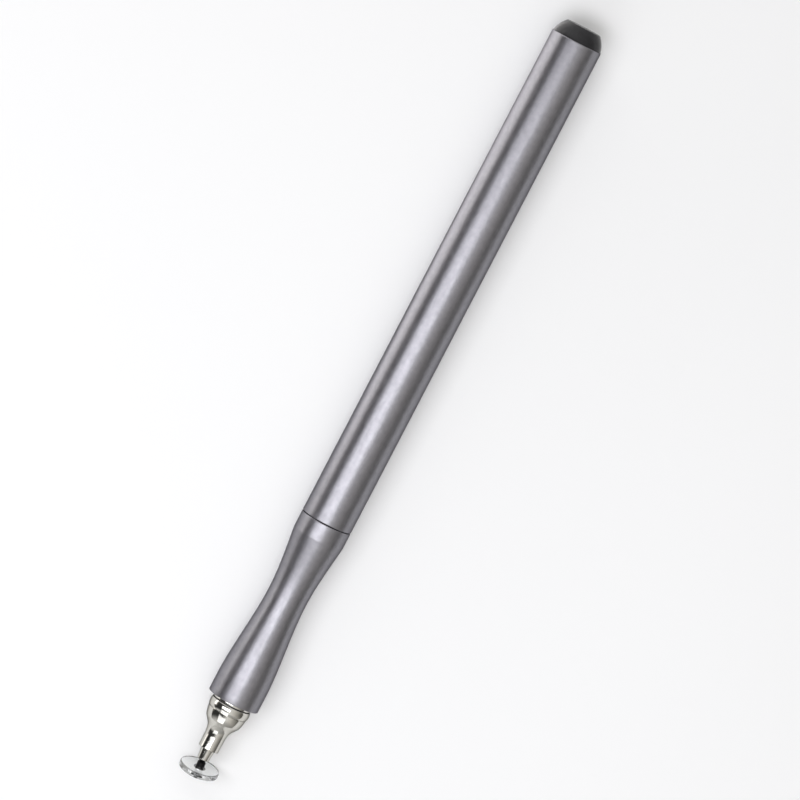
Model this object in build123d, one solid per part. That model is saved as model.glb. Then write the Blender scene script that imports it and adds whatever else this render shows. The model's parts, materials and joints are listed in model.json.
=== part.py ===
from build123d import *

import os
from math import ceil, cos, radians, sin, sqrt, tan

# Stylus pen with a clear swivelling disc for a tip. It lies on its side, with its
# tail towards +X and its disc towards -X. Sizes are in millimetres and degrees.
# Each piece is drawn along the X axis, with x = 0 at the rear face of the grip,
# and the whole pen is then moved so that it rests on z = 0 about its own middle.

# Fits between pieces, as radial clearances
press_gap = 0.01
running_gap = 0.05
thread_gap = 0.08
ball_gap = 0.03

# Barrel
barrel_diameter = 9.1
barrel_length = 91.0
barrel_wall = 0.7
barrel_edge_round = 0.15
seam_gap = 0.12

# Tail plug
plug_step = 0.1
plug_crown_inset = 1.45
plug_crown_length = 2.6
plug_crown_bulge = 0.22
plug_spigot_length = 7.0
plug_spigot_wall = 0.9
plug_lead = 0.4

# Grip
grip_length = 34.4
grip_band_length = 3.0
grip_break_angle = 7.0
grip_waist_place = 14.4
grip_waist_depth = 1.04
grip_mouth_swell = 0.05
grip_lip_length = 2.9
grip_step = 0.5
grip_edge_chamfer = 0.12

# Screw joint between the barrel and the grip
bush_wall = 0.65
bush_overrun = 0.9
thread_depth = 0.4
thread_pitch = 0.75
thread_crest = 0.18
thread_root = 0.42
thread_turns = 6
spigot_wall = 0.9
spigot_root_length = 6.0
spigot_lead = 0.5
seal_section = 0.8

# Insert in the grip's mouth, and the washer in front of it
insert_diameter = 5.8
insert_length = 8.0
insert_wall = 0.6
insert_flange_width = 0.55
insert_flange_length = 0.5
washer_inset = 0.2
washer_thickness = 0.15

# Nose
nose_shank_length = 7.0
drum_diameter = 7.02
drum_length = 1.5
drum_bulge = 0.15
groove_width = 0.1
groove_depth = 0.17
second_drum_step = 0.06
second_drum_drop = 0.36
second_drum_length = 1.75
second_drum_bulge = 0.06
flare_length = 2.95
flare_start_slope = 0.75
flare_start_reach = 1.0
flare_end_reach = 1.6
cone_rise = 0.15
nose_length = 8.65
nose_tip_wall = 0.52
nose_lip_round = 0.25
chamber_depth = 4.55

# Stem and its spring
stem_diameter = 2.5
stem_show_length = 2.0
stem_flange_width = 0.25
stem_flange_length = 0.65
stem_pilot_diameter = 1.4
stem_pilot_length = 1.0
stop_gap = 0.02
seat_thickness = 0.5
boss_gap = 0.15
boss_length = 0.6
spring_wire = 0.3
spring_gap = 0.15
spring_pitch = 0.95
retainer_length = 2.0
retainer_recess = 0.35
retainer_slot_width = 0.5
retainer_slot_depth = 0.6

# Swivel and disc
ball_diameter = 1.7
socket_lip = 0.35
socket_wall = 0.2
neck_ball_diameter = 1.0
neck_collar_diameter = 0.86
neck_length = 0.19
collar_diameter = 1.46
shank_diameter = 0.7
ball_to_disc = 1.71
disc_diameter = 7.0
disc_thickness = 1.0
disc_edge_round = 0.2
foot_diameter = 2.1
foot_thickness = 0.25
disc_rest_tilt = 12.9
disc_rest_heading = 19.9

# Radii, worked out from the sizes above
barrel_radius = barrel_diameter / 2
barrel_bore_radius = barrel_radius - barrel_wall
mouth_radius = barrel_radius + grip_mouth_swell
thread_core_radius = barrel_bore_radius - bush_wall - thread_depth
grip_bore_radius = thread_core_radius - grip_step
seal_neck_radius = thread_core_radius - thread_depth
seal_radius = seal_neck_radius + running_gap + seal_section / 2
insert_radius = insert_diameter / 2
insert_bore_radius = insert_radius - insert_wall
insert_flange_radius = insert_radius + insert_flange_width
nose_shank_radius = insert_bore_radius - press_gap
stem_radius = stem_diameter / 2
stem_bore_radius = stem_radius + running_gap
stem_flange_radius = stem_radius + stem_flange_width
stem_pilot_radius = stem_pilot_diameter / 2
chamber_radius = stem_flange_radius + running_gap
spring_mean_radius = chamber_radius - spring_gap - spring_wire / 2
boss_radius = spring_mean_radius - spring_wire / 2 - boss_gap
ball_radius = ball_diameter / 2
shank_radius = shank_diameter / 2
foot_radius = foot_diameter / 2

# Places along the pen, worked out from the sizes above
barrel_front = seam_gap
barrel_rear = barrel_front + barrel_length
tail_face = barrel_rear + plug_crown_length
seal_place = running_gap + seal_section / 2
bush_front = seal_place + seal_section / 2 + running_gap
thread_front = bush_front + thread_root
thread_rear = thread_front + thread_turns * thread_pitch
spigot_rear = thread_rear + thread_root + spigot_lead
bush_rear = thread_rear + thread_pitch + thread_root + bush_overrun
mouth = -grip_length
nose_seat = mouth - insert_flange_length - washer_thickness
nose_rear = nose_seat + nose_shank_length
nose_tip = nose_seat - nose_length
chamber_front = nose_seat - chamber_depth
flange_front = chamber_front + stop_gap
flange_rear = flange_front + stem_flange_length
seat_front = flange_rear + stop_gap
seat_rear = seat_front + seat_thickness
retainer_rear = nose_rear - retainer_recess
retainer_front = retainer_rear - retainer_length
stem_end = nose_tip - stem_show_length
ball_place = stem_end + socket_lip
disc_face = ball_place - ball_to_disc
disc_front = disc_face - disc_thickness


def turned(*outline):
    """Solid turned about X from a closed outline of (x, radius) points."""
    return revolve(make_face(Polyline(*outline, close=True)), Axis.X)


def turned_from(*edges):
    """Solid turned about X from edges that follow each other, closed by a line."""
    first, last = edges[0], edges[-1]
    closing = Line(last @ 1, first @ 0)
    return revolve(make_face([*edges, closing]), Axis.X)


def rod(front, rear, radius):
    """Plain round rod along X."""
    return turned((front, 0), (front, radius), (rear, radius), (rear, 0))


def tube(front, rear, inner_radius, outer_radius):
    """Plain round tube along X."""
    return turned(
        (front, inner_radius), (front, outer_radius), (rear, outer_radius), (rear, inner_radius)
    )


def thread_ridge(front, turns, gap):
    """Helical ridge of the screw joint, right-handed, thickened all round by gap."""
    half_root = thread_root / 2 + gap
    half_crest = thread_crest / 2 + gap
    sunk = thread_depth / 4 - gap
    path = Helix(
        thread_pitch, turns * thread_pitch, thread_core_radius, (front, 0, 0), (1, 0, 0)
    )
    start = path @ 0
    outward = Vector(0, start.Y, start.Z).normalized()
    section_plane = Plane(origin=start, x_dir=outward, z_dir=path % 0)
    section = make_face(
        Polyline(
            (-sunk, -half_root),
            (thread_depth + gap, -half_crest),
            (thread_depth + gap, half_crest),
            (-sunk, half_root),
            close=True,
        )
    )
    return sweep(section_plane * section, path, is_frenet=True)


def make_barrel_tube():
    shell = tube(barrel_front, barrel_rear, barrel_bore_radius, barrel_radius)
    rims = shell.edges().filter_by(GeomType.CIRCLE)
    outer_rims = [rim for rim in rims if rim.radius > barrel_radius - barrel_wall / 2]
    return fillet(outer_rims, min(barrel_edge_round, barrel_wall / 3))


def make_tail_plug():
    base_radius = barrel_radius - plug_step
    face_radius = base_radius - plug_crown_inset
    spigot_radius = barrel_bore_radius - press_gap
    hollow_radius = spigot_radius - plug_spigot_wall
    spigot_front = barrel_rear - plug_spigot_length
    hollow_end = barrel_rear - plug_spigot_wall
    crown = SagittaArc((barrel_rear, base_radius), (tail_face, face_radius), plug_crown_bulge)
    body = Polyline(
        (tail_face, face_radius),
        (tail_face, 0),
        (hollow_end, 0),
        (hollow_end, hollow_radius),
        (spigot_front, hollow_radius),
        (spigot_front, spigot_radius - plug_lead),
        (spigot_front + plug_lead, spigot_radius),
        (barrel_rear, spigot_radius),
        (barrel_rear, base_radius),
    )
    return revolve(make_face([crown, *body.edges()]), Axis.X)


def make_thread_bush():
    bush = tube(
        bush_front, bush_rear, thread_core_radius + thread_gap, barrel_bore_radius - press_gap
    )
    turns_ahead = ceil(2 * thread_root / thread_pitch)
    turns_behind = 1
    groove = thread_ridge(
        thread_front - turns_ahead * thread_pitch,
        turns_ahead + thread_turns + turns_behind,
        thread_gap,
    )
    return bush - groove


def make_joint_o_ring():
    section = Pos(seal_place, seal_radius) * Circle(seal_section / 2)
    return revolve(section, Axis.X)


def make_grip_shell():
    waist_radius = barrel_radius - grip_waist_depth
    band_end = -grip_band_length
    waist = -grip_waist_place
    shoulder = mouth + grip_lip_length
    cove_reach = (band_end - waist) / 3
    swell_reach = (waist - shoulder) / 3
    break_drop = cove_reach * tan(radians(grip_break_angle))
    band = Polyline(
        (0, grip_bore_radius),
        (0, barrel_radius - grip_edge_chamfer),
        (-grip_edge_chamfer, barrel_radius),
        (band_end, barrel_radius),
    )
    cove = Bezier(
        (band_end, barrel_radius),
        (band_end - cove_reach, barrel_radius - break_drop),
        (waist + cove_reach, waist_radius),
        (waist, waist_radius),
    )
    swell = Bezier(
        (waist, waist_radius),
        (waist - swell_reach, waist_radius),
        (shoulder + swell_reach, mouth_radius),
        (shoulder, mouth_radius),
    )
    lip = Polyline(
        (shoulder, mouth_radius),
        (mouth + grip_edge_chamfer, mouth_radius),
        (mouth, mouth_radius - grip_edge_chamfer),
        (mouth, grip_bore_radius),
    )
    shell = turned_from(*band.edges(), cove, swell, *lip.edges())
    spigot_seat = rod(-spigot_root_length, 0, thread_core_radius)
    insert_seat = rod(mouth, mouth + insert_length, insert_radius)
    return shell - spigot_seat - insert_seat


def make_joint_spigot():
    root_radius = thread_core_radius - press_gap
    bore_radius = thread_core_radius - spigot_wall
    core = turned(
        (-spigot_root_length, bore_radius),
        (-spigot_root_length, root_radius),
        (0, root_radius),
        (0, seal_neck_radius),
        (bush_front, seal_neck_radius),
        (bush_front, thread_core_radius),
        (spigot_rear - spigot_lead / 2, thread_core_radius),
        (spigot_rear, thread_core_radius - spigot_lead / 2),
        (spigot_rear, bore_radius),
    )
    return core + thread_ridge(thread_front, thread_turns, 0)


def make_mouth_insert():
    outer_radius = insert_radius - press_gap
    flange_face = mouth - insert_flange_length
    return turned(
        (flange_face, insert_bore_radius),
        (flange_face, insert_flange_radius),
        (mouth, insert_flange_radius),
        (mouth, outer_radius),
        (mouth + insert_length, outer_radius),
        (mouth + insert_length, insert_bore_radius),
    )


def make_nose_washer():
    return tube(
        nose_seat,
        nose_seat + washer_thickness,
        insert_bore_radius,
        insert_flange_radius - washer_inset,
    )


def make_nose_cone():
    drum_radius = drum_diameter / 2
    drum_end = nose_seat - drum_length
    second_start = drum_end - groove_width
    second_end = second_start - second_drum_length
    flare_end = second_end - flare_length
    second_drum_radius = drum_radius - second_drum_step
    flare_start_radius = second_drum_radius - second_drum_drop
    groove_radius = drum_radius - groove_depth
    tip_radius = stem_bore_radius + nose_tip_wall
    flare_end_radius = tip_radius + cone_rise
    cone_slope = cone_rise / (flare_end - nose_tip)
    shank = Polyline(
        (nose_rear, chamber_radius),
        (nose_rear, nose_shank_radius),
        (nose_seat, nose_shank_radius),
        (nose_seat, drum_radius),
    )
    drum = SagittaArc((drum_end, drum_radius), (nose_seat, drum_radius), drum_bulge)
    groove = Polyline(
        (drum_end, drum_radius),
        (drum_end, groove_radius),
        (second_start, groove_radius),
        (second_start, second_drum_radius),
    )
    second_drum = SagittaArc(
        (second_end, flare_start_radius),
        (second_start, second_drum_radius),
        second_drum_bulge,
    )
    flare = Bezier(
        (second_end, flare_start_radius),
        (second_end - flare_start_reach, flare_start_radius - flare_start_reach * flare_start_slope),
        (flare_end + flare_end_reach, flare_end_radius + flare_end_reach * cone_slope),
        (flare_end, flare_end_radius),
    )
    tip = Polyline(
        (flare_end, flare_end_radius),
        (nose_tip, tip_radius),
        (nose_tip, stem_bore_radius),
        (chamber_front, stem_bore_radius),
        (chamber_front, chamber_radius),
    )
    cone = turned_from(
        *shank.edges(), drum, *groove.edges(), second_drum, flare, *tip.edges()
    )
    foremost = cone.faces().sort_by(Axis.X)[0]
    lip = foremost.edges().sort_by(SortBy.RADIUS)[-1]
    return fillet(lip, min(nose_lip_round, 0.7 * nose_tip_wall))


def make_spring_retainer():
    plug = rod(retainer_front, retainer_rear, chamber_radius - press_gap)
    boss = rod(retainer_front - boss_length, retainer_front, boss_radius)
    slot = Pos(retainer_rear, 0, 0) * Box(
        2 * retainer_slot_depth, 2 * chamber_radius, retainer_slot_width
    )
    return plug + boss - slot


def make_tip_spring():
    first_turn = seat_rear + spring_wire / 2 + stop_gap
    last_turn = retainer_front - spring_wire / 2 - stop_gap
    path = Helix(
        spring_pitch, last_turn - first_turn, spring_mean_radius, (first_turn, 0, 0), (1, 0, 0)
    )
    section = Plane(origin=path @ 0, z_dir=path % 0) * Circle(spring_wire / 2)
    return sweep(section, path, is_frenet=True)


def make_spring_seat():
    hole_radius = stem_pilot_radius + running_gap
    return turned(
        (seat_front, hole_radius),
        (seat_front, stem_flange_radius),
        (seat_rear, stem_flange_radius),
        (seat_rear, boss_radius),
        (seat_rear + boss_length, boss_radius),
        (seat_rear + boss_length, hole_radius),
    )


def make_tip_stem():
    socket_radius = ball_radius + ball_gap
    pilot_rear = flange_rear + stem_pilot_length
    stem = turned(
        (stem_end, 0),
        (stem_end, socket_radius + socket_wall),
        (nose_tip, stem_radius),
        (flange_front, stem_radius),
        (flange_front, stem_flange_radius),
        (flange_rear, stem_flange_radius),
        (flange_rear, stem_pilot_radius),
        (pilot_rear, stem_pilot_radius),
        (pilot_rear, 0),
    )
    socket = Pos(ball_place, 0, 0) * Sphere(socket_radius)
    return stem - socket


def at_rest_tilt(piece):
    """Leans a piece about the ball's centre, as the disc lies when the pen is put down."""
    heading = radians(disc_rest_heading)
    hinge = Axis((ball_place, 0, 0), (0, -cos(heading), sin(heading)))
    return piece.rotate(hinge, disc_rest_tilt)


def make_ball_stud():
    neck_radius = neck_ball_diameter / 2
    neck_start = ball_place - sqrt(ball_radius**2 - neck_radius**2)
    collar_start = neck_start - neck_length
    neck = turned(
        (ball_place, 0),
        (ball_place, neck_radius),
        (neck_start, neck_radius),
        (collar_start, neck_collar_diameter / 2),
        (collar_start, collar_diameter / 2),
        (disc_face, collar_diameter / 2),
        (disc_face, shank_radius),
        (disc_front, shank_radius),
        (disc_front, 0),
    )
    ball = Pos(ball_place, 0, 0) * Sphere(ball_radius)
    return at_rest_tilt(ball + neck)


def edge_round():
    """Rounding of the disc's rim, which its thickness limits."""
    return min(disc_edge_round, disc_thickness / 3)


def make_tip_disc():
    disc = rod(disc_front, disc_face, disc_diameter / 2)
    disc = fillet(disc.edges().filter_by(GeomType.CIRCLE), edge_round())
    hole = rod(disc_front, disc_face, shank_radius + press_gap)
    foot_seat = rod(disc_front, disc_front + foot_thickness, foot_radius + press_gap)
    return at_rest_tilt(disc - hole - foot_seat)


def make_foot_washer():
    washer = tube(disc_front, disc_front + foot_thickness, shank_radius + press_gap, foot_radius)
    return at_rest_tilt(washer)


def front_reach():
    """Place of the foremost point of the leaning disc."""
    tilt = radians(disc_rest_tilt)
    along = (ball_to_disc + disc_thickness - edge_round()) * cos(tilt)
    aside = (disc_diameter / 2 - edge_round()) * sin(tilt)
    return ball_place - along - aside - edge_round()


pieces = {
    "barrel_tube": make_barrel_tube,
    "tail_plug": make_tail_plug,
    "thread_bush": make_thread_bush,
    "joint_o_ring": make_joint_o_ring,
    "grip_shell": make_grip_shell,
    "joint_spigot": make_joint_spigot,
    "mouth_insert": make_mouth_insert,
    "nose_washer": make_nose_washer,
    "nose_cone": make_nose_cone,
    "spring_retainer": make_spring_retainer,
    "tip_spring": make_tip_spring,
    "spring_seat": make_spring_seat,
    "tip_stem": make_tip_stem,
    "ball_stud": make_ball_stud,
    "tip_disc": make_tip_disc,
    "foot_washer": make_foot_washer,
}

middle = (tail_face + front_reach()) / 2
axis_height = max(barrel_radius, mouth_radius)
at_rest = Pos(-middle, 0, axis_height)

os.makedirs("parts", exist_ok=True)
for name, make_piece in pieces.items():
    export_step(at_rest * make_piece(), f"parts/{name}.step")
print("middle", round(middle, 4), "axis height", axis_height, "ball", round(ball_place - middle, 4))
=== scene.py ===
import json
from collections import namedtuple
from math import acos, asin, cos, pi, radians, sin, tan, tau

import bmesh
import bpy
from bpy.props import FloatProperty, FloatVectorProperty, PointerProperty
from bpy.types import Operator, Panel, PropertyGroup
from mathutils import Matrix, Vector


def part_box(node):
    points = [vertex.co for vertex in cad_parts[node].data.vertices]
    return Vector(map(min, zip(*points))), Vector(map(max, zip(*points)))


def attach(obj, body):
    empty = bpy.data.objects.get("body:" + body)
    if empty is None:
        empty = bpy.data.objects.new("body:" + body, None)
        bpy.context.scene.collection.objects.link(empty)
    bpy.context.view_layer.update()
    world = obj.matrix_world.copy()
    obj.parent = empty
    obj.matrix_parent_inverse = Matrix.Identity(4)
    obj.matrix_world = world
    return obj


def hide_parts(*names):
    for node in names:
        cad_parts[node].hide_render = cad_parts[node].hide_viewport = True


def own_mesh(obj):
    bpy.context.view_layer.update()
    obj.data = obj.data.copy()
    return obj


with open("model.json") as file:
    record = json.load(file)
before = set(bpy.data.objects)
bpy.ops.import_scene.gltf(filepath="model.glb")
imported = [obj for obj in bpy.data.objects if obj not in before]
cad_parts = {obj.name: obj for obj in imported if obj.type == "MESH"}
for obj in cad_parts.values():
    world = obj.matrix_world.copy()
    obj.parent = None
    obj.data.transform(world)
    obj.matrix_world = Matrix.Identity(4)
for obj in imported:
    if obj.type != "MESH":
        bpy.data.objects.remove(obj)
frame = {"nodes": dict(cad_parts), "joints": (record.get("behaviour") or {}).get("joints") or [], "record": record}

bl_info = {
    "name": "Stylus Pen",
    "version": (1, 0, 0),
    "blender": (4, 5, 0),
    "location": "View3D > Sidebar > Pen",
    "description": "Models and finishes a disc-tipped stylus pen over its packed CAD frame",
    "category": "Object",
}

MM = 0.001
MERGE_DISTANCE = 0.0004 * MM
SMOOTH_ANGLE = radians(30)

# Steps round the larger pieces and round the small ones at the tip.
BODY_STEPS = 192
TIP_STEPS = 112

# Steps and shape of each rounded corner.
ROUND_STEPS = 5
ROUND_PROFILE = 0.5

# Number of lengths that each run of an outline is divided into.
BARREL_RUNS = 24
BARREL_BORE_RUNS = 8
CROWN_RUNS = 12
PLUG_FACE_RUNS = 6
BAND_RUNS = 3
COVE_RUNS = 28
SWELL_RUNS = 36
LIP_RUNS = 3
DRUM_RUNS = 16
FLARE_RUNS = 28
CONE_RUNS = 16
SOCKET_RUNS = 20
TAPER_RUNS = 12
BALL_RUNS = 24
DISC_REAR_RUNS = 6
DISC_FRONT_RUNS = 4

# Sides of the spring's wire and steps along its coil.
WIRE_SIDES = 14
COIL_STEPS = 256

# Limits within which most of a noise pattern's values lie.
NOISE_LOW = 0.25
NOISE_HIGH = 0.75

# Distance from band to band of a wave pattern whose scale is 1, and how its bands wander.
WAVE_PERIOD = pi / 10
WAVE_WANDER = 0.6
WAVE_DETAIL = 1

# Size in metres and roughness of the stage's floor, and the lamps' two whites.
FLOOR_SIZE = 12
FLOOR_ROUGHNESS = 0.9
COOL_WHITE = (0.96, 0.965, 1)
WARM_WHITE = (1, 0.975, 0.955)

# Camera's sensor in millimetres, and the limits of its sight in metres.
SENSOR_WIDTH = 36
SIGHT_START = 0.01
SIGHT_END = 100

# Places and light of the room's side walls, from the picture's right over the top to its left.
SIDE_WALLS = (
    (0.0, (0.10, 0.097, 0.09)),
    (0.07, (0.36, 0.35, 0.33)),
    (0.2, (0.72, 0.70, 0.67)),
    (0.38, (1.0, 1.0, 1.0)),
    (0.5, (0.5, 0.5, 0.5)),
    (0.62, (0.05, 0.05, 0.05)),
    (0.95, (0.04, 0.04, 0.04)),
    (1.0, (0.35, 0.34, 0.32)),
)

# Directions along the pen where an end wall starts and is full, and its light at right and left.
EndWall = namedtuple("EndWall", "start full right left")
END_WALLS = (
    EndWall(start=-0.45, full=-0.75, right=0.2, left=1.0),
    EndWall(start=0.3, full=0.6, right=0.1, left=1.9),
)

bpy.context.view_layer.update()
JOINTS = {joint["name"]: joint for joint in frame["joints"]}
BODY_OF = {
    node: body for body, nodes in frame["record"]["behaviour"]["bodies"].items() for node in nodes
}
SLOT_OF = {part["node"]: part["material_slot"] for part in frame["record"]["subparts"]}


def reach(node):
    """Front and rear end of a CAD node along the pen."""
    low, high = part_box(node)
    return low.x, high.x


def radius_of(node):
    """Largest radius of an upright CAD node."""
    low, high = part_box(node)
    return (high.z - low.z) / 2


AXIS_HEIGHT = sum(corner.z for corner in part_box("barrel_tube")) / 2
BALL = Vector(JOINTS["disc_tilt"]["pos_m"])


def length(name, millimetres, description):
    return FloatProperty(
        name=name, description=description, default=millimetres * MM, min=0, unit="LENGTH", precision=5
    )


def angle(name, degrees, description):
    return FloatProperty(
        name=name, description=description, default=radians(degrees), unit="ROTATION", subtype="ANGLE"
    )


def share(name, value, description):
    return FloatProperty(
        name=name, description=description, default=value, min=0, max=1, subtype="FACTOR"
    )


def power(name, watts, description):
    return FloatProperty(name=name, description=description, default=watts, min=0, unit="POWER")


def colour(name, red, green, blue, description):
    return FloatVectorProperty(
        name=name, description=description, default=(red, green, blue), min=0, max=1, subtype="COLOR"
    )


class PenBodySizes(PropertyGroup):
    """Sizes of the barrel, its tail plug and the grip."""

    barrel_wall: length("Barrel wall", 0.7, "Thickness of the barrel's tube")
    barrel_round: length("Barrel rim", 0.15, "Rounding of the barrel's two rims")
    plug_inset: length("Plug inset", 1.45, "How far the crown draws in up to its flat face")
    plug_bulge: length("Plug bulge", 0.22, "How far the crown's side bulges from a straight cone")
    plug_round: length("Plug rim", 0.3, "Rounding of the rim of the plug's flat face")
    plug_spigot: length("Plug spigot", 7.0, "How far the plug reaches into the barrel")
    plug_wall: length("Plug wall", 0.9, "Wall of the plug's hollow spigot")
    band_length: length("Grip band", 3.0, "Straight band of the grip next to the seam")
    break_angle: angle("Grip break", 7.0, "Angle by which the grip turns in at the end of its band")
    waist_place: length("Waist place", 14.4, "How far the waist lies from the seam")
    waist_depth: length("Waist depth", 1.04, "How far the waist lies inside the barrel's outside")
    lip_length: length("Grip lip", 2.9, "Straight length at the grip's mouth")
    grip_round: length("Grip rim", 0.12, "Rounding of the grip's two rims")
    grip_bore: length("Grip bore", 2.3, "Radius of the grip's bore")
    spigot_seat: length("Spigot seat", 2.8, "Radius of the seat of the screw joint's spigot")
    spigot_depth: length("Spigot depth", 6.0, "Depth of the seat of the screw joint's spigot")
    insert_seat: length("Insert seat", 2.9, "Radius of the seat of the mouth insert")
    insert_depth: length("Insert depth", 8.0, "Depth of the seat of the mouth insert")


class PenNoseSizes(PropertyGroup):
    """Sizes of the mouth insert, the nose and the stem with its spring."""

    insert_bore: length("Insert bore", 2.3, "Radius of the insert's bore")
    insert_flange: length("Insert flange", 0.5, "Thickness of the insert's flange")
    insert_round: length("Insert rims", 0.06, "Rounding of the rims of the insert's flange")
    shank: length("Nose shank", 2.29, "Radius of the nose's shank in the insert")
    drum_radius: length("First drum", 3.51, "Radius of the rims of the nose's first drum")
    drum_length: length("First drum length", 1.5, "Length of the nose's first drum")
    drum_bulge: length("First drum bulge", 0.15, "How far the first drum bulges between its rims")
    groove_width: length("Groove width", 0.1, "Width of the groove between the drums")
    groove_depth: length("Groove depth", 0.17, "Depth of the groove between the drums")
    second_step: length("Second drum step", 0.06, "How much less the second drum's radius is")
    second_drop: length("Second drum drop", 0.36, "How far the second drum draws in")
    second_length: length("Second drum length", 1.75, "Length of the nose's second drum")
    second_bulge: length("Second drum bulge", 0.06, "How far the second drum bulges between its rims")
    drum_round: length("Drum rims", 0.05, "Rounding of the rims of the two drums")
    flare_length: length("Flare length", 2.95, "Length of the flare from the second drum to the cone")
    flare_pull: length("Flare pull", 1.0, "How far the flare keeps to the second drum's slope")
    flare_drop: length("Flare drop", 0.75, "How far the flare falls within its pull")
    flare_settle: length("Flare settle", 1.6, "How far the flare keeps to the cone's slope")
    cone_rise: length("Cone rise", 0.01, "How much wider the cone is at the flare than at its tip")
    lip_swell: angle("Lip swell", 1.0, "Angle at which the nose and the stem swell at their ends")
    tip_wall: length("Nose tip wall", 0.52, "Wall of the nose round the stem at its tip")
    tip_round: length("Nose lip", 0.25, "Rounding of the nose's lip")
    chamber_depth: length("Chamber depth", 4.55, "Depth of the spring's chamber from the nose's seat")
    chamber: length("Chamber", 1.55, "Radius of the spring's chamber")
    stem_radius: length("Stem", 1.25, "Radius of the stem in the nose")
    stem_bore: length("Stem bore", 1.3, "Radius of the nose's bore round the stem")
    stem_end: length("Stem end", 1.08, "Radius of the stem's open end")
    stem_round: length("Stem rim", 0.08, "Rounding of the stem's end")
    stem_flange: length("Stem flange", 0.65, "Thickness of the flange that holds the stem in the nose")
    stem_pilot: length("Stem pilot", 0.7, "Radius of the pilot behind the stem's flange")
    stem_pilot_length: length("Pilot length", 1.0, "Length of the pilot behind the stem's flange")
    socket: length("Ball socket", 0.88, "Radius of the socket round the ball")
    spring_radius: length("Spring coil", 1.25, "Radius of the middle of the spring's coil")
    spring_wire: length("Spring wire", 0.15, "Radius of the spring's wire")
    spring_pitch: length("Spring pitch", 0.95, "Distance from turn to turn of the spring")


class PenTipSizes(PropertyGroup):
    """Sizes of the ball stud, the foot washer and the clear disc."""

    rest_tilt: angle("Rest tilt", 12.9, "Lean of the disc as it lies at rest")
    ball: length("Ball", 0.85, "Radius of the stud's ball")
    neck_top: length("Neck at ball", 0.5, "Radius of the stud's neck at the ball")
    neck_foot: length("Neck at collar", 0.43, "Radius of the stud's neck at its collar")
    neck_length: length("Neck length", 0.19, "Length of the stud's neck from its ball to its collar")
    collar: length("Collar", 0.73, "Radius of the collar that stands on the disc")
    collar_round: length("Collar rim", 0.12, "Rounding of the collar's rim")
    shank: length("Stud shank", 0.35, "Radius of the stud's shank in the disc")
    press_gap: length("Press gap", 0.01, "Gap between pieces that are pressed together")
    ball_to_disc: length("Ball to disc", 1.71, "Distance from the ball's middle to the disc")
    disc: length("Disc", 3.5, "Radius of the clear disc")
    disc_thickness: length("Disc thickness", 1.0, "Thickness of the clear disc")
    disc_round: length("Disc rim", 0.2, "Rounding of the disc's two rims")
    foot: length("Foot", 1.05, "Radius of the foot washer")
    foot_thickness: length("Foot thickness", 0.25, "Thickness of the foot washer")
    foot_round: length("Foot rim", 0.04, "Rounding of the foot washer's rim")


class PenFinishes(PropertyGroup):
    """Colours and gloss of the pen's finishes."""

    satin: colour("Satin body", 0.3, 0.294, 0.316, "Grey anodising of the barrel and grip")
    satin_roughness: share("Satin roughness", 0.36, "Roughness of the anodised surface")
    satin_edge: share("Satin edge", 0.2, "Brightness of the anodised surface seen edge-on")
    plug: colour("Dark plug", 0.026, 0.0255, 0.027, "Dark plastic of the tail plug")
    plug_roughness: share("Plug roughness", 0.2, "Roughness of the tail plug")
    plug_gloss: share("Plug gloss", 0.18, "Strength of the tail plug's shine")
    plate: colour("Bright plate", 0.62, 0.605, 0.56, "Plating of the nose, the insert and the stem")
    plate_roughness: share("Plate roughness", 0.1, "Roughness of the plating")
    plate_edge: share("Plate edge", 0.15, "Brightness of the plating seen edge-on")
    brass: colour("Brass", 0.72, 0.53, 0.26, "Brass of the screw joint and the spring's seats")
    brass_roughness: share("Brass roughness", 0.24, "Roughness of the turned brass")
    brass_edge: share("Brass edge", 0.8, "Brightness of the brass seen edge-on")
    rubber: colour("Rubber", 0.02, 0.02, 0.02, "Black rubber of the ring and the washer")
    rubber_roughness: share("Rubber roughness", 0.62, "Roughness of the rubber")
    rubber_gloss: share("Rubber gloss", 0.3, "Strength of the rubber's shine")
    steel: colour("Spring steel", 0.5, 0.5, 0.5, "Drawn wire of the spring")
    steel_roughness: share("Steel roughness", 0.29, "Roughness of the drawn wire")
    # Near-black of the swivel: the collar's own black plastic, and painted shade on the stud's neck, which takes
    # this black for the shaded gap between the stem's end and the collar.
    contact: colour("Black contact", 0.006, 0.006, 0.0065, "Black conductive plastic of the swivel")
    contact_roughness: share("Contact roughness", 0.4, "Roughness of the swivel")
    contact_gloss: share("Contact gloss", 0.15, "Strength of the swivel's shine")
    disc: colour("Clear disc", 0.88, 0.89, 0.89, "Tint of the clear disc")
    disc_roughness: share("Disc roughness", 0.045, "Roughness of the clear disc")
    disc_index: FloatProperty(
        name="Disc index", description="Index of refraction of the clear disc", default=1.49, min=1
    )


class PenStage(PropertyGroup):
    """Camera, lamps and floor."""

    aim_along: length("Aim along", 1.57, "Place along the pen that the camera looks at")
    aim_aside: length("Aim aside", 1.5, "How far aside of the pen's axis the camera looks")
    camera_distance: length("Camera distance", 926.0, "Distance of the camera from the pen")
    camera_lean: angle("Camera lean", 6.08, "Lean of the camera towards the pen's tail")
    camera_roll: angle("Camera roll", 27.53, "Angle of the pen to the picture's upright")
    camera_lens: FloatProperty(
        name="Camera lens", description="Focal length on a 36 mm sensor", default=247.95, unit="CAMERA"
    )
    main_power: power("Main lamp", 0.83, "Power of the softbox overhead")
    front_power: power("Front lamp", 0.5, "Power of the softbox in front of the nose")
    side_power: power("Side lamp", 0.5, "Power of the low lamp at the side")
    table_power: power("Table lamp", 0.045, "Power of the panel in the floor beside the pen")
    floor: colour("Floor", 0.9, 0.9, 0.9, "Colour of the floor")
    floor_glow: share("Floor glow", 0.08, "How much paler than lit the floor is seen")


TurnAxis = namedtuple("TurnAxis", "start along out")
PEN_AXIS = TurnAxis(Vector((0, 0, AXIS_HEIGHT)), Vector((1, 0, 0)), Vector((0, 0, 1)))


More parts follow.
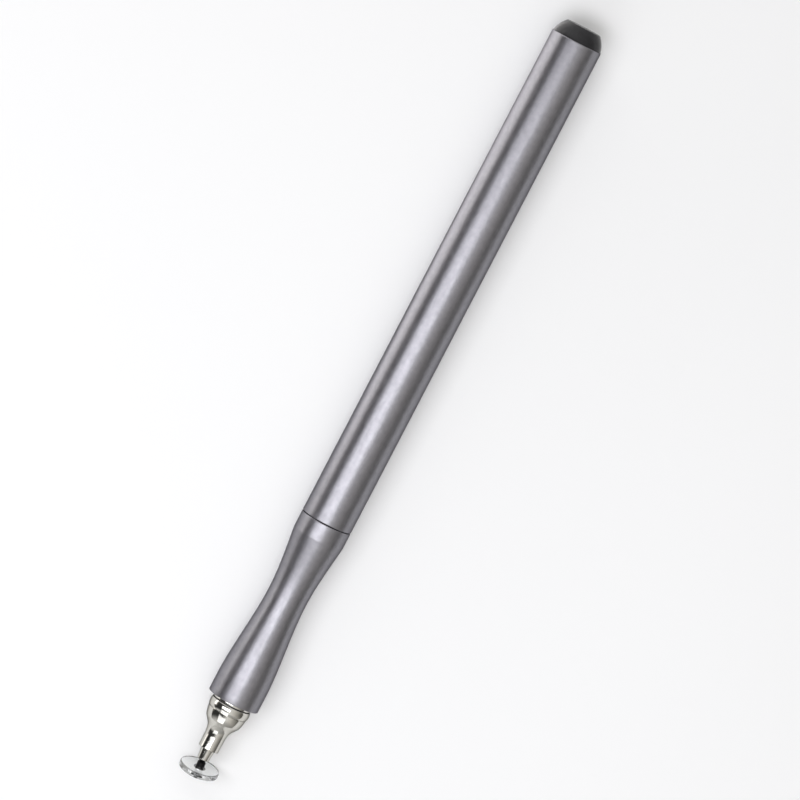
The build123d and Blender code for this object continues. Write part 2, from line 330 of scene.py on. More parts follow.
def tip_axis(tilt):
    """Axis of the leaning disc and its stud, through the ball's middle."""
    lean = Matrix.Rotation(tilt, 3, Vector(JOINTS["disc_tilt"]["axis"]))
    return TurnAxis(BALL, lean @ PEN_AXIS.along, lean @ PEN_AXIS.out)


def placed(axis, point):
    """Place in the frame of a point given along an axis and out from it."""
    along, out = point
    return axis.start + axis.along * (along - axis.start.x) + axis.out * out


def straight(start, end, count):
    """Points after start that divide a straight run into equal lengths."""
    return [
        tuple(a + (b - a) * step / count for a, b in zip(start, end)) for step in range(1, count + 1)
    ]


def bezier(start, first, second, end, count):
    """Points after start of a curve that two handles pull."""
    points = []
    for step in range(1, count + 1):
        t = step / count
        weights = ((1 - t) ** 3, 3 * t * (1 - t) ** 2, 3 * t * t * (1 - t), t**3)
        corners = (start, first, second, end)
        points.append(tuple(sum(w * c[i] for w, c in zip(weights, corners)) for i in (0, 1)))
    return points


def bulged(start, end, bulge, count):
    """Points after start of an arc that bulges outwards from the straight run to end."""
    start, end = Vector(start), Vector(end)
    along = (end - start).normalized()
    outward = Vector((-along.y, along.x)) if along.x > 0 else Vector((along.y, -along.x))
    half = (end - start).length / 2
    radius = (half * half + bulge * bulge) / (2 * bulge)
    centre = (start + end) / 2 - outward * (radius - bulge)
    sweep = asin(half / radius)
    turns = [sweep * (2 * step / count - 1) for step in range(1, count + 1)]
    return [tuple(centre + (outward * cos(t) + along * sin(t)) * radius) for t in turns]


def round_end(centre, radius, stop, count):
    """Points of a ball's outline from its rear pole to the angle stop."""
    turns = [stop * step / count for step in range(count + 1)]
    return [(centre + radius * cos(t), radius * sin(t)) for t in turns]


def edit_mesh(piece):
    return bmesh.from_edit_mesh(piece.data)


def pick_points(piece, places):
    """Selects the outline's points that lie at the given places."""
    bpy.ops.mesh.select_all(action="DESELECT")
    bpy.ops.mesh.select_mode(type="VERT")
    drawing = edit_mesh(piece)
    for point in drawing.verts:
        point.select_set(any((point.co - place).length < MERGE_DISTANCE for place in places))
    drawing.select_flush(False)
    bmesh.update_edit_mesh(piece.data)


def drop_axis_edges(piece, axis):
    """Deletes the edges of an outline that lie on its turning axis."""
    bpy.ops.mesh.select_all(action="DESELECT")
    bpy.ops.mesh.select_mode(type="EDGE")
    drawing = edit_mesh(piece)
    for edge in drawing.edges:
        offsets = [(p.co - axis.start).cross(axis.along).length for p in edge.verts]
        edge.select_set(max(offsets) < MERGE_DISTANCE)
    bmesh.update_edit_mesh(piece.data)
    if any(edge.select for edge in edit_mesh(piece).edges):
        bpy.ops.mesh.delete(type="EDGE")


def smooth(piece):
    """Smooth shading that keeps the sharp corners and the true run of long faces."""
    bpy.ops.object.shade_smooth_by_angle(angle=SMOOTH_ANGLE)
    bpy.ops.object.modifier_add(type="WEIGHTED_NORMAL")
    weighted = piece.modifiers[-1]
    weighted.keep_sharp = True
    bpy.ops.object.modifier_apply(modifier=weighted.name)


def keep_crease(piece, axis, corner):
    """Marks the ring that a corner of the outline has become as a sharp one."""
    bpy.ops.mesh.select_all(action="DESELECT")
    bpy.ops.mesh.select_mode(type="EDGE")
    along, out = corner
    for edge in edit_mesh(piece).edges:
        arms = [point.co - axis.start for point in edge.verts]
        steps = [arm.dot(axis.along) + axis.start.x - along for arm in arms]
        gaps = [arm.cross(axis.along).length - out for arm in arms]
        edge.select_set(max(abs(miss) for miss in steps + gaps) < MERGE_DISTANCE)
    bmesh.update_edit_mesh(piece.data)
    bpy.ops.mesh.mark_sharp()


def turned_piece(name, outline, rounds=(), axis=PEN_AXIS, steps=BODY_STEPS, creases=()):
    """Draws a closed outline of (along, radius) points, rounds its corners and spins it."""
    points = [placed(axis, point) for point in outline]
    bpy.ops.object.select_all(action="DESELECT")
    bpy.ops.mesh.primitive_plane_add(size=MM)
    piece = bpy.context.object
    piece.name = piece.data.name = name
    bpy.ops.object.mode_set(mode="EDIT")
    bpy.ops.mesh.select_mode(type="VERT")
    bpy.ops.mesh.select_all(action="SELECT")
    bpy.ops.mesh.merge(type="CENTER")
    bpy.ops.transform.translate(value=points[0])
    for here, there in zip(points, points[1:] + points[:1]):
        bpy.ops.mesh.extrude_region_move(TRANSFORM_OT_translate={"value": there - here})
    bpy.ops.mesh.select_all(action="SELECT")
    bpy.ops.mesh.remove_doubles(threshold=MERGE_DISTANCE)
    bpy.ops.mesh.edge_face_add()
    for size, corners in rounds:
        pick_points(piece, [placed(axis, corner) for corner in corners])
        bpy.ops.mesh.bevel(offset=size, affect="VERTICES", segments=ROUND_STEPS, profile=ROUND_PROFILE)
    bpy.ops.mesh.select_all(action="SELECT")
    bpy.ops.mesh.delete(type="ONLY_FACE")
    drop_axis_edges(piece, axis)
    bpy.ops.mesh.select_all(action="SELECT")
    bpy.ops.mesh.spin(steps=steps, angle=tau, center=axis.start, axis=axis.along)
    bpy.ops.mesh.select_all(action="SELECT")
    bpy.ops.mesh.remove_doubles(threshold=MERGE_DISTANCE)
    bpy.ops.mesh.normals_make_consistent(inside=False)
    for corner in creases:
        keep_crease(piece, axis, corner)
    bpy.ops.object.mode_set(mode="OBJECT")
    smooth(piece)
    return piece


def dress(piece, node):
    """Puts a finished piece in a CAD node's place, with that node's body and finish."""
    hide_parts(node)
    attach(piece, BODY_OF[node])
    piece.data.materials.append(finish_of(node))


def new_finish(name):
    """Material with one shader, and the object's own coordinates for its patterns."""
    finish = bpy.data.materials.new(name)
    finish.use_nodes = True
    tree = finish.node_tree
    place = tree.nodes.new("ShaderNodeTexCoord").outputs["Object"]
    return finish, tree, tree.nodes["Principled BSDF"], place


def grey(level):
    """Opaque grey for a colour socket."""
    return (level, level, level, 1)


def noise(tree, place, size, detail, stretch=(1, 1, 1)):
    """Noise with lumps of about a given size, drawn out where stretch is above 1."""
    mapping = tree.nodes.new("ShaderNodeMapping")
    mapping.inputs["Scale"].default_value = [1 / s for s in stretch]
    texture = tree.nodes.new("ShaderNodeTexNoise")
    texture.inputs["Scale"].default_value = 1 / size
    texture.inputs["Detail"].default_value = detail
    tree.links.new(place, mapping.inputs["Vector"])
    tree.links.new(mapping.outputs["Vector"], texture.inputs["Vector"])
    return texture.outputs["Fac"]


def rings(tree, place, pitch):
    """Fine rings round the pen, as a lathe leaves them."""
    texture = tree.nodes.new("ShaderNodeTexWave")
    texture.wave_type = "BANDS"
    texture.bands_direction = "X"
    texture.inputs["Scale"].default_value = WAVE_PERIOD / pitch
    texture.inputs["Distortion"].default_value = WAVE_WANDER
    texture.inputs["Detail"].default_value = WAVE_DETAIL
    tree.links.new(place, texture.inputs["Vector"])
    return texture.outputs["Fac"]


def between(tree, value, low, high):
    """Value of a pattern, brought between two limits."""
    limits = tree.nodes.new("ShaderNodeMapRange")
    limits.inputs["From Min"].default_value = NOISE_LOW
    limits.inputs["From Max"].default_value = NOISE_HIGH
    limits.inputs["To Min"].default_value = low
    limits.inputs["To Max"].default_value = high
    tree.links.new(value, limits.inputs["Value"])
    return limits.outputs["Result"]


def about(tree, value, middle, spread):
    """Value of a pattern, brought to both sides of a middle value."""
    return between(tree, value, middle - spread, middle + spread)


def shaded(tree, value, tint, change):
    """Colour that a pattern darkens and lightens by a given share."""
    mix = tree.nodes.new("ShaderNodeMix")
    mix.data_type = "RGBA"
    mix.inputs["A"].default_value = [c * (1 - change) for c in tint] + [1]
    mix.inputs["B"].default_value = [min(1, c * (1 + change)) for c in tint] + [1]
    tree.links.new(between(tree, value, 0, 1), mix.inputs["Factor"])
    return mix.outputs["Result"]


def raised(tree, value, height):
    """Surface normal with a pattern standing up by a given height."""
    bump = tree.nodes.new("ShaderNodeBump")
    bump.inputs["Strength"].default_value = 1
    bump.inputs["Distance"].default_value = height
    tree.links.new(value, bump.inputs["Height"])
    return bump.outputs["Normal"]


def satin_body_finish(name, looks):
    """Bead-blasted and anodised aluminium: a fine even grain with faint clouds of colour."""
    finish, tree, shader, place = new_finish(name)
    shader.inputs["Metallic"].default_value = 1
    shader.inputs["Specular Tint"].default_value = grey(looks.satin_edge)
    clouds = noise(tree, place, size=0.9 * MM, detail=6)
    blotches = noise(tree, place, size=0.5 * MM, detail=3, stretch=(3, 1, 1))
    grain = noise(tree, place, size=0.3 * MM, detail=3)
    tint = shaded(tree, clouds, looks.satin, change=0.08)
    rough = about(tree, blotches, looks.satin_roughness, spread=0.04)
    tree.links.new(tint, shader.inputs["Base Color"])
    tree.links.new(rough, shader.inputs["Roughness"])
    tree.links.new(raised(tree, grain, height=0.012 * MM), shader.inputs["Normal"])
    return finish


def dark_plug_finish(name, looks):
    """Dark moulded plastic, polished, with a very shallow ripple."""
    finish, tree, shader, place = new_finish(name)
    shader.inputs["Specular IOR Level"].default_value = looks.plug_gloss
    smears = noise(tree, place, size=0.9 * MM, detail=4)
    ripple = noise(tree, place, size=0.35 * MM, detail=2)
    tint = shaded(tree, smears, looks.plug, change=0.12)
    rough = about(tree, smears, looks.plug_roughness, spread=0.05)
    tree.links.new(tint, shader.inputs["Base Color"])
    tree.links.new(rough, shader.inputs["Roughness"])
    tree.links.new(raised(tree, ripple, height=0.0008 * MM), shader.inputs["Normal"])
    return finish


def turned_metal(name, metal, change, roughness, edge, pitch, height):
    """Metal with the fine rings of turning and faint smears of tarnish."""
    finish, tree, shader, place = new_finish(name)
    shader.inputs["Metallic"].default_value = 1
    shader.inputs["Specular Tint"].default_value = grey(edge)
    smears = noise(tree, place, size=0.8 * MM, detail=4)
    turning = rings(tree, place, pitch)
    rough = about(tree, smears, roughness, spread=0.3 * roughness)
    tree.links.new(shaded(tree, smears, metal, change), shader.inputs["Base Color"])
    tree.links.new(rough, shader.inputs["Roughness"])
    tree.links.new(raised(tree, turning, height), shader.inputs["Normal"])
    return finish


def bright_plate_finish(name, looks):
    """Plating over turned metal."""
    return turned_metal(
        name,
        looks.plate,
        change=0.06,
        roughness=looks.plate_roughness,
        edge=looks.plate_edge,
        pitch=0.09 * MM,
        height=0.0003 * MM,
    )


def brass_finish(name, looks):
    """Bare turned brass."""
    return turned_metal(
        name,
        looks.brass,
        change=0.1,
        roughness=looks.brass_roughness,
        edge=looks.brass_edge,
        pitch=0.12 * MM,
        height=0.001 * MM,
    )


def spring_steel_finish(name, looks):
    """Drawn wire with streaks and a little scale."""
    finish, tree, shader, place = new_finish(name)
    shader.inputs["Metallic"].default_value = 1
    streaks = noise(tree, place, size=0.12 * MM, detail=3)
    tint = shaded(tree, streaks, looks.steel, change=0.15)
    rough = about(tree, streaks, looks.steel_roughness, spread=0.07)
    tree.links.new(tint, shader.inputs["Base Color"])
    tree.links.new(rough, shader.inputs["Roughness"])
    return finish


def matt_black(name, black, gloss, roughness, size, height):
    """Matt black surface with a moulded grain."""
    finish, tree, shader, place = new_finish(name)
    shader.inputs["Specular IOR Level"].default_value = gloss
    grain = noise(tree, place, size, detail=3)
    rough = about(tree, grain, roughness, spread=0.08)
    tree.links.new(shaded(tree, grain, black, change=0.25), shader.inputs["Base Color"])
    tree.links.new(rough, shader.inputs["Roughness"])
    tree.links.new(raised(tree, grain, height), shader.inputs["Normal"])
    return finish


def seal_rubber_finish(name, looks):
    """Moulded rubber."""
    gloss, rough = looks.rubber_gloss, looks.rubber_roughness
    return matt_black(name, looks.rubber, gloss, rough, size=0.1 * MM, height=0.004 * MM)


def black_contact_and_gap_shade_finish(name, looks):
    """Black plastic, smoother than the rubber; on the stud's neck this black is also painted shade for the gap
    between the stem's end and the collar.
    """
    gloss, rough = looks.contact_gloss, looks.contact_roughness
    return matt_black(name, looks.contact, gloss, rough, size=0.07 * MM, height=0.001 * MM)


def clear_disc_finish(name, looks):
    """Clear polished plastic with faint wipe marks."""
    finish, tree, shader, place = new_finish(name)
    shader.inputs["Transmission Weight"].default_value = 1
    shader.inputs["IOR"].default_value = looks.disc_index
    wipes = noise(tree, place, size=0.5 * MM, detail=5, stretch=(1, 4, 1))
    tint = shaded(tree, wipes, looks.disc, change=0.02)
    rough = about(tree, wipes, looks.disc_roughness, spread=0.025)
    tree.links.new(tint, shader.inputs["Base Color"])
    tree.links.new(rough, shader.inputs["Roughness"])
    return finish


FINISHES = {
    "satin_body": satin_body_finish,
    "dark_plug": dark_plug_finish,
    "brass": brass_finish,
    "seal_rubber": seal_rubber_finish,
    "bright_plate": bright_plate_finish,
    "spring_steel": spring_steel_finish,
    "black_contact": black_contact_and_gap_shade_finish,
    "clear_disc": clear_disc_finish,
}


def finish_of(node):
    """The finish of a CAD node's slot, made the first time that it is needed."""
    slot = SLOT_OF[node]
    made = bpy.data.materials.get(slot + "_finish")
    return made or FINISHES[slot](slot + "_finish", bpy.context.scene.pen_finishes)


class PEN_OT_barrel(Operator):
    """Turns the barrel's tube"""

    bl_idname = "pen.barrel"
    bl_label = "Barrel"

    def execute(self, context):
        sizes = context.scene.pen_body
        front, rear = reach("barrel_tube")
        outer = radius_of("barrel_tube")
        inner = outer - sizes.barrel_wall
        outline = [
            (front, inner),
            (front, outer),
            *straight((front, outer), (rear, outer), BARREL_RUNS),
            (rear, inner),
            *straight((rear, inner), (front, inner), BARREL_BORE_RUNS)[:-1],
        ]
        rounds = [(sizes.barrel_round, [(front, outer), (rear, outer)])]
        dress(turned_piece("barrel", outline, rounds), "barrel_tube")
        return {"FINISHED"}


class PEN_OT_tail_plug(Operator):
    """Turns the tail plug with its crown and its hollow spigot"""

    bl_idname = "pen.tail_plug"
    bl_label = "Tail Plug"

    def execute(self, context):
        sizes = context.scene.pen_body
        seat = reach("barrel_tube")[1]
        face = reach("tail_plug")[1]
        base = radius_of("tail_plug")
        rim = base - sizes.plug_inset
        bore = radius_of("barrel_tube") - sizes.barrel_wall
        spigot = bore - context.scene.pen_tip.press_gap
        hollow = spigot - sizes.plug_wall
        front = seat - sizes.plug_spigot
        lead = sizes.plug_wall / 2
        outline = [
            (seat, spigot),
            (seat, base),
            *bulged((seat, base), (face, rim), sizes.plug_bulge, CROWN_RUNS),
            *straight((face, rim), (face, 0), PLUG_FACE_RUNS),
            (seat - sizes.plug_wall, 0),
            (seat - sizes.plug_wall, hollow),
            (front, hollow),
            (front, spigot - lead),
            (front + lead, spigot),
        ]
        rounds = [(sizes.plug_round, [(face, rim)])]
        dress(turned_piece("end_plug", outline, rounds), "tail_plug")
        return {"FINISHED"}


class PEN_OT_grip(Operator):
    """Turns the waisted grip with the seats of its spigot and insert"""

    bl_idname = "pen.grip"
    bl_label = "Grip"

    def execute(self, context):
        sizes = context.scene.pen_body
        mouth, rear = reach("grip_shell")
        lip = radius_of("grip_shell")
        band = radius_of("barrel_tube")
        waist = band - sizes.waist_depth
        band_end = rear - sizes.band_length
        waist_place = rear - sizes.waist_place
        shoulder = mouth + sizes.lip_length
        cove = (band_end - waist_place) / 3
        swell = (waist_place - shoulder) / 3
        outline = [
            (rear, sizes.spigot_seat),
            (rear, band),
            *straight((rear, band), (band_end, band), BAND_RUNS),
            *bezier(
                (band_end, band),
                (band_end - cove, band - cove * tan(sizes.break_angle)),
                (waist_place + cove, waist),
                (waist_place, waist),
                COVE_RUNS,
            ),
            *bezier(
                (waist_place, waist),
                (waist_place - swell, waist),
                (shoulder + swell, lip),
                (shoulder, lip),
                SWELL_RUNS,
            ),
            *straight((shoulder, lip), (mouth, lip), LIP_RUNS),
            (mouth, sizes.insert_seat),
            (mouth + sizes.insert_depth, sizes.insert_seat),
            (mouth + sizes.insert_depth, sizes.grip_bore),
            (rear - sizes.spigot_depth, sizes.grip_bore),
            (rear - sizes.spigot_depth, sizes.spigot_seat),
        ]
        rounds = [(sizes.grip_round, [(rear, band), (mouth, lip)])]
        creases = [(band_end, band)]
        dress(turned_piece("grip", outline, rounds, creases=creases), "grip_shell")
        return {"FINISHED"}


class PEN_OT_mouth_ring(Operator):
    """Turns the plated insert whose flange is the ring at the grip's mouth"""

    bl_idname = "pen.mouth_ring"
    bl_label = "Mouth Ring"

    def execute(self, context):
        sizes = context.scene.pen_nose
        front, rear = reach("mouth_insert")
        flange = radius_of("mouth_insert")
        seat = front + sizes.insert_flange
        sleeve = context.scene.pen_body.insert_seat - context.scene.pen_tip.press_gap
        outline = [
            (front, sizes.insert_bore),
            (front, flange),
            (seat, flange),
            (seat, sleeve),
            (rear, sleeve),
            (rear, sizes.insert_bore),
        ]
        rounds = [(sizes.insert_round, [(front, flange), (seat, flange)])]
        dress(turned_piece("mouth_ring", outline, rounds), "mouth_insert")
        return {"FINISHED"}


class PEN_OT_nose(Operator):
    """Turns the bright nose with its two drums, flare and cone"""

    bl_idname = "pen.nose"
    bl_label = "Nose"

    def execute(self, context):
        sizes = context.scene.pen_nose
        tip, rear = reach("nose_cone")
        seat = reach("nose_washer")[0]
        first_end = seat - sizes.drum_length
        second_start = first_end - sizes.groove_width
        second_end = second_start - sizes.second_length
        flare_end = second_end - sizes.flare_length
        chamber_front = seat - sizes.chamber_depth
        drum = sizes.drum_radius
        groove = drum - sizes.groove_depth
        second = drum - sizes.second_step
        flare = second - sizes.second_drop
        lip = sizes.stem_bore + sizes.tip_wall
        cone = lip + sizes.cone_rise
        cone_third = (flare_end - tip) / 3
        settle_rise = sizes.flare_settle * sizes.cone_rise / (flare_end - tip)
        outline = [
            (rear, sizes.chamber),
            (rear, sizes.shank),
            (seat, sizes.shank),
            (seat, drum),
            *bulged((seat, drum), (first_end, drum), sizes.drum_bulge, DRUM_RUNS),
            (first_end, groove),
            (second_start, groove),
            (second_start, second),
            *bulged((second_start, second), (second_end, flare), sizes.second_bulge, DRUM_RUNS),
            *bezier(
                (second_end, flare),
                (second_end - sizes.flare_pull, flare - sizes.flare_drop),
                (flare_end + sizes.flare_settle, cone + settle_rise),
                (flare_end, cone),
                FLARE_RUNS,
            ),
            *bezier(
                (flare_end, cone),
                (flare_end - cone_third, cone - sizes.cone_rise / 3),
                (tip + cone_third, lip - cone_third * tan(sizes.lip_swell)),
                (tip, lip),
                CONE_RUNS,
            ),
            (tip, sizes.stem_bore),
            (chamber_front, sizes.stem_bore),
            (chamber_front, sizes.chamber),
        ]
        rounds = [
            (sizes.tip_round, [(tip, lip)]),
            (sizes.drum_round, [(seat, drum), (first_end, drum), (second_start, second)]),
        ]
        dress(turned_piece("nose", outline, rounds), "nose_cone")
        return {"FINISHED"}


class PEN_OT_stem(Operator):
    """Turns the stem with its ball socket, flange and pilot"""

    bl_idname = "pen.stem"
    bl_label = "Stem"

    def execute(self, context):
        sizes = context.scene.pen_nose
        end, rear = reach("tip_stem")
        nose_tip = reach("nose_cone")[0]
        flange_rear = rear - sizes.stem_pilot_length
        flange_front = flange_rear - sizes.stem_flange
        flange = radius_of("tip_stem")
        opening = acos((end - BALL.x) / sizes.socket)
        taper_third = (nose_tip - end) / 3
        taper_rise = sizes.stem_radius - sizes.stem_end
        outline = [
            *round_end(BALL.x, sizes.socket, opening, SOCKET_RUNS),
            (end, sizes.stem_end),
            *bezier(
                (end, sizes.stem_end),
                (end + taper_third, sizes.stem_end - taper_third * tan(sizes.lip_swell)),
                (nose_tip - taper_third, sizes.stem_radius - taper_rise / 3),
                (nose_tip, sizes.stem_radius),
                TAPER_RUNS,
            ),
            (flange_front, sizes.stem_radius),
            (flange_front, flange),
            (flange_rear, flange),
            (flange_rear, sizes.stem_pilot),
            (rear, sizes.stem_pilot),
            (rear, 0),
        ]
        rounds = [(sizes.stem_round, [(end, sizes.stem_end)])]
        dress(turned_piece("stem", outline, rounds, steps=TIP_STEPS), "tip_stem")
        return {"FINISHED"}


class PEN_OT_spring(Operator):
    """Winds the stem's spring as one fixed coil, though the real one shortens as the stem is pressed"""

    bl_idname = "pen.spring"
    bl_label = "Spring"

    def execute(self, context):
        sizes = context.scene.pen_nose
        front, rear = reach("tip_spring")
        wound = rear - front - 2 * sizes.spring_wire
        bpy.ops.object.select_all(action="DESELECT")
        bpy.ops.mesh.primitive_circle_add(
            vertices=WIRE_SIDES,
            radius=sizes.spring_wire,
            fill_type="NGON",
            location=(0, 0, AXIS_HEIGHT),
        )
        piece = context.object
        piece.name = piece.data.name = "spring"
        bpy.ops.object.mode_set(mode="EDIT")
        bpy.ops.mesh.select_all(action="SELECT")
        bpy.ops.transform.rotate(
            value=pi / 2, orient_axis="X", center_override=(0, 0, AXIS_HEIGHT)
        )
        bpy.ops.transform.translate(value=(front + sizes.spring_wire, 0, sizes.spring_radius))
        bpy.ops.object.mode_set(mode="OBJECT")
        bpy.ops.object.modifier_add(type="SCREW")
        winding = piece.modifiers[-1]
        winding.axis = "X"
        winding.angle = tau * wound / sizes.spring_pitch
        winding.screw_offset = wound
        winding.steps = winding.render_steps = COIL_STEPS
        bpy.ops.object.modifier_apply(modifier=winding.name)
        bpy.ops.object.transform_apply(location=True, rotation=True, scale=True)
        bpy.ops.object.mode_set(mode="EDIT")
        bpy.ops.mesh.select_all(action="SELECT")
        bpy.ops.mesh.remove_doubles(threshold=MERGE_DISTANCE)
        bpy.ops.mesh.normals_make_consistent(inside=False)
        bpy.ops.object.mode_set(mode="OBJECT")
        bpy.ops.object.shade_smooth_by_angle(angle=SMOOTH_ANGLE)
        dress(piece, "tip_spring")
        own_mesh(piece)
        return {"FINISHED"}


class PEN_OT_swivel(Operator):
    """Turns the ball stud and the foot washer about the disc's own axis"""

    bl_idname = "pen.swivel"
    bl_label = "Swivel"

    def execute(self, context):
        sizes = context.scene.pen_tip
        axis = tip_axis(sizes.rest_tilt)
        disc_face = BALL.x - sizes.ball_to_disc
        disc_front = disc_face - sizes.disc_thickness
        foot_rear = disc_front + sizes.foot_thickness
        neck = pi - asin(sizes.neck_top / sizes.ball)
        collar_rear = BALL.x + sizes.ball * cos(neck) - sizes.neck_length
        # The stud's neck gets the swivel's near-black, painted shade for the gap between the stem's end and the
        # collar.
        stud = [
            *round_end(BALL.x, sizes.ball, neck, BALL_RUNS),
            (collar_rear, sizes.neck_foot),
            (collar_rear, sizes.collar),
            (disc_face, sizes.collar),
            (disc_face, sizes.shank),
            (disc_front, sizes.shank),
            (disc_front, 0),
        ]
        rounds = [(sizes.collar_round, [(collar_rear, sizes.collar)])]
        dress(turned_piece("ball_swivel", stud, rounds, axis, TIP_STEPS), "ball_stud")
        hole = sizes.shank + sizes.press_gap
        foot = [
            (disc_front, hole),
            (disc_front, sizes.foot),
            (foot_rear, sizes.foot),
            (foot_rear, hole),
        ]
        rounds = [(sizes.foot_round, [(disc_front, sizes.foot)])]
        dress(turned_piece("foot_ring", foot, rounds, axis, TIP_STEPS), "foot_washer")
        return {"FINISHED"}


class PEN_OT_disc(Operator):
    """Turns the clear disc with its hole and the seat of the foot washer"""

    bl_idname = "pen.disc"
    bl_label = "Clear Disc"

    def execute(self, context):
        sizes = context.scene.pen_tip
        axis = tip_axis(sizes.rest_tilt)
        face = BALL.x - sizes.ball_to_disc
        front = face - sizes.disc_thickness
        seat = front + sizes.foot_thickness
        hole = sizes.shank + sizes.press_gap
        recess = sizes.foot + sizes.press_gap
        outline = [
            (face, hole),
            *straight((face, hole), (face, sizes.disc), DISC_REAR_RUNS),
            (front, sizes.disc),
            *straight((front, sizes.disc), (front, recess), DISC_FRONT_RUNS),
            (seat, recess),
            (seat, hole),
        ]
        rounds = [(sizes.disc_round, [(face, sizes.disc), (front, sizes.disc)])]
        dress(turned_piece("clear_disc", outline, rounds, axis, TIP_STEPS), "tip_disc")
        return {"FINISHED"}


class PEN_OT_inner_parts(Operator):
    """Gives the pieces kept from the CAD model their finishes"""

    bl_idname = "pen.inner_parts"
    bl_label = "Inner Parts"

    def execute(self, context):
        for node, part in frame["nodes"].items():
            if not part.hide_render:
                for slot in part.material_slots:
                    slot.material = finish_of(node)
        return {"FINISHED"}


def add_softbox(name, watts, tint, wide, deep, location, aim, shape="RECTANGLE"):
    """Adds a flat lamp that faces a point and isn't seen itself."""
    facing = (Vector(aim) - Vector(location)).to_track_quat("-Z", "Y").to_euler()
    bpy.ops.object.light_add(type="AREA", location=location, rotation=facing)
    lamp = bpy.context.object
    lamp.name = lamp.data.name = name
    lamp.data.shape = shape
    lamp.data.size = wide
    lamp.data.size_y = deep
    lamp.data.energy = watts
    lamp.data.color = tint
    lamp.visible_camera = False


def light_room():
    """World of a studio's walls: its sides, and an end wall at the nose and at the tail."""
    world = bpy.data.worlds.new("studio")
    bpy.context.scene.world = world
    world.use_nodes = True
    tree = world.node_tree
    parts = tree.nodes.new("ShaderNodeSeparateXYZ")
    tree.links.new(tree.nodes.new("ShaderNodeTexCoord").outputs["Generated"], parts.inputs["Vector"])
    across = tree.nodes.new("ShaderNodeMapRange")
    across.inputs["From Min"].default_value = -1
    ramp = tree.nodes.new("ShaderNodeValToRGB")
    while len(ramp.color_ramp.elements) < len(SIDE_WALLS):
        ramp.color_ramp.elements.new(1)
    for element, (place, tint) in zip(ramp.color_ramp.elements, SIDE_WALLS):
        element.position = place
        element.color = (*tint, 1)
    tree.links.new(parts.outputs["Y"], across.inputs["Value"])
    tree.links.new(across.outputs["Result"], ramp.inputs["Fac"])
    seen = ramp.outputs["Color"]
    for wall in END_WALLS:
        cover = tree.nodes.new("ShaderNodeMapRange")
        cover.interpolation_type = "SMOOTHSTEP"
        cover.inputs["From Min"].default_value = wall.start
        cover.inputs["From Max"].default_value = wall.full
        light = tree.nodes.new("ShaderNodeMapRange")
        light.inputs["From Min"].default_value = -1
        light.inputs["To Min"].default_value = wall.right
        light.inputs["To Max"].default_value = wall.left
        walls = tree.nodes.new("ShaderNodeMix")
        walls.data_type = "RGBA"
        tree.links.new(parts.outputs["X"], cover.inputs["Value"])
        tree.links.new(parts.outputs["Y"], light.inputs["Value"])
        tree.links.new(cover.outputs["Result"], walls.inputs["Factor"])
        tree.links.new(seen, walls.inputs["A"])
        tree.links.new(light.outputs["Result"], walls.inputs["B"])
        seen = walls.outputs["Result"]
    tree.links.new(seen, tree.nodes["Background"].inputs["Color"])


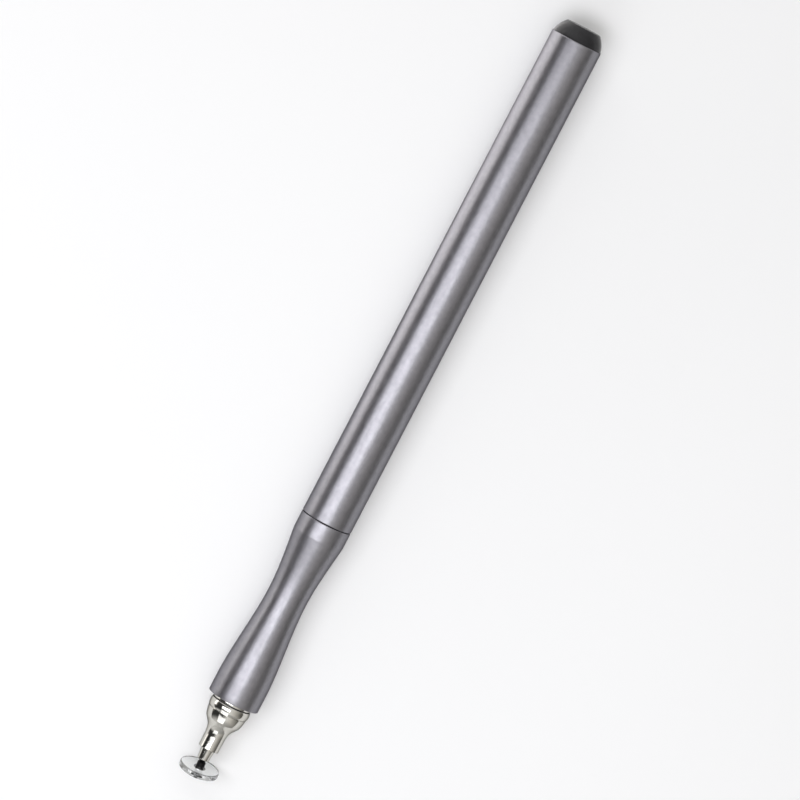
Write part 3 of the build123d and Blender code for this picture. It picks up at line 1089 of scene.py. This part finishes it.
class PEN_OT_stage(Operator):
    """Sets up the floor, the lamps, the room and the camera"""

    bl_idname = "pen.stage"
    bl_label = "Stage"

    def execute(self, context):
        scene = context.scene
        stage = scene.pen_stage
        scene.view_settings.view_transform = "Standard"
        bpy.ops.object.select_all(action="DESELECT")
        self.add_floor(stage)
        light_room()
        self.add_lamps(stage)
        self.add_camera(scene, stage)
        return {"FINISHED"}

    def add_floor(self, stage):
        """Adds the plain white floor that the pen lies on."""
        bpy.ops.mesh.primitive_plane_add(size=FLOOR_SIZE)
        floor = bpy.context.object
        floor.name = floor.data.name = "floor"
        paint, tree, shader, place = new_finish("floor_paint")
        shader.inputs["Roughness"].default_value = FLOOR_ROUGHNESS
        shader.inputs["Specular IOR Level"].default_value = 0
        mottle = noise(tree, place, size=0.4, detail=2)
        tint = shaded(tree, mottle, stage.floor, change=0.01)
        tree.links.new(tint, shader.inputs["Base Color"])
        self.whiten(tree, shader, stage.floor_glow)
        floor.data.materials.append(paint)

    def whiten(self, tree, shader, glow):
        """Lets the camera, metal and glass see the floor a little paler than it is lit."""
        path = tree.nodes.new("ShaderNodeLightPath")
        seen = path.outputs["Is Camera Ray"]
        for kind in ("Is Glossy Ray", "Is Transmission Ray"):
            either = tree.nodes.new("ShaderNodeMath")
            either.operation = "MAXIMUM"
            tree.links.new(seen, either.inputs[0])
            tree.links.new(path.outputs[kind], either.inputs[1])
            seen = either.outputs["Value"]
        strength = tree.nodes.new("ShaderNodeMath")
        strength.operation = "MULTIPLY"
        strength.inputs[1].default_value = glow
        tree.links.new(seen, strength.inputs[0])
        shader.inputs["Emission Color"].default_value = grey(1)
        tree.links.new(strength.outputs["Value"], shader.inputs["Emission Strength"])

    def add_lamps(self, stage):
        """Adds two softboxes overhead, a low strip at the side and a panel in the floor."""
        add_softbox(
            "main_softbox",
            stage.main_power,
            COOL_WHITE,
            wide=0.17,
            deep=0.385,
            location=(-0.067, 0.107, 0.42),
            aim=(-0.067, 0.107, 0),
        )
        add_softbox(
            "front_softbox",
            stage.front_power,
            COOL_WHITE,
            wide=0.28,
            deep=0.385,
            location=(-0.42, 0.107, 0.42),
            aim=(-0.42, 0.107, 0),
        )
        add_softbox(
            "side_strip",
            stage.side_power,
            WARM_WHITE,
            wide=0.6,
            deep=0.14,
            location=(0.12, 0.55, 0.07),
            aim=(0.12, 0, 0.07),
        )
        add_softbox(
            "table_panel",
            stage.table_power,
            WARM_WHITE,
            wide=0.19,
            deep=0.074,
            location=(0.067, 0.043, 0.001),
            aim=(0.067, 0.043, 1),
            shape="ELLIPSE",
        )

    def add_camera(self, scene, stage):
        """Adds the camera above the pen, rolled so that the pen leans in the picture."""
        lean, roll = stage.camera_lean, stage.camera_roll
        back = Vector((sin(lean), 0, cos(lean)))
        towards_tail = Vector((cos(lean), 0, -sin(lean)))
        aside = Vector((0, 1, 0))
        right = towards_tail * sin(roll) - aside * cos(roll)
        upward = towards_tail * cos(roll) + aside * sin(roll)
        aim = Vector((stage.aim_along, -stage.aim_aside, AXIS_HEIGHT))
        facing = Matrix((right, upward, back)).transposed().to_euler()
        bpy.ops.object.camera_add(location=aim + back * stage.camera_distance, rotation=facing)
        camera = bpy.context.object
        camera.data.sensor_width = SENSOR_WIDTH
        camera.data.lens = stage.camera_lens
        camera.data.clip_start = SIGHT_START
        camera.data.clip_end = SIGHT_END
        scene.camera = camera


OPERATORS = (
    PEN_OT_barrel,
    PEN_OT_tail_plug,
    PEN_OT_grip,
    PEN_OT_mouth_ring,
    PEN_OT_nose,
    PEN_OT_stem,
    PEN_OT_spring,
    PEN_OT_swivel,
    PEN_OT_disc,
    PEN_OT_inner_parts,
    PEN_OT_stage,
)
GROUPS = {
    "pen_body": PenBodySizes,
    "pen_nose": PenNoseSizes,
    "pen_tip": PenTipSizes,
    "pen_finishes": PenFinishes,
    "pen_stage": PenStage,
}


class PEN_PT_sidebar(Panel):
    """Buttons that make the pen's pieces and stage, and their sizes and finishes"""

    bl_label = "Stylus Pen"
    bl_space_type = "VIEW_3D"
    bl_region_type = "UI"
    bl_category = "Pen"

    def draw(self, context):
        for operator in OPERATORS:
            self.layout.operator(operator.bl_idname)
        for place, group in GROUPS.items():
            box = self.layout.box()
            for name in group.__annotations__:
                box.prop(getattr(context.scene, place), name)


def register():
    for group in GROUPS.values():
        bpy.utils.register_class(group)
    for part in (*OPERATORS, PEN_PT_sidebar):
        bpy.utils.register_class(part)
    for place, group in GROUPS.items():
        setattr(bpy.types.Scene, place, PointerProperty(type=group))


def unregister():
    for place in GROUPS:
        delattr(bpy.types.Scene, place)
    for part in (PEN_PT_sidebar, *reversed(OPERATORS), *GROUPS.values()):
        bpy.utils.unregister_class(part)


def main():
    register()
    for operator in OPERATORS:
        group, name = operator.bl_idname.split(".")
        getattr(getattr(bpy.ops, group), name)()


if __name__ == "__main__":
    main()
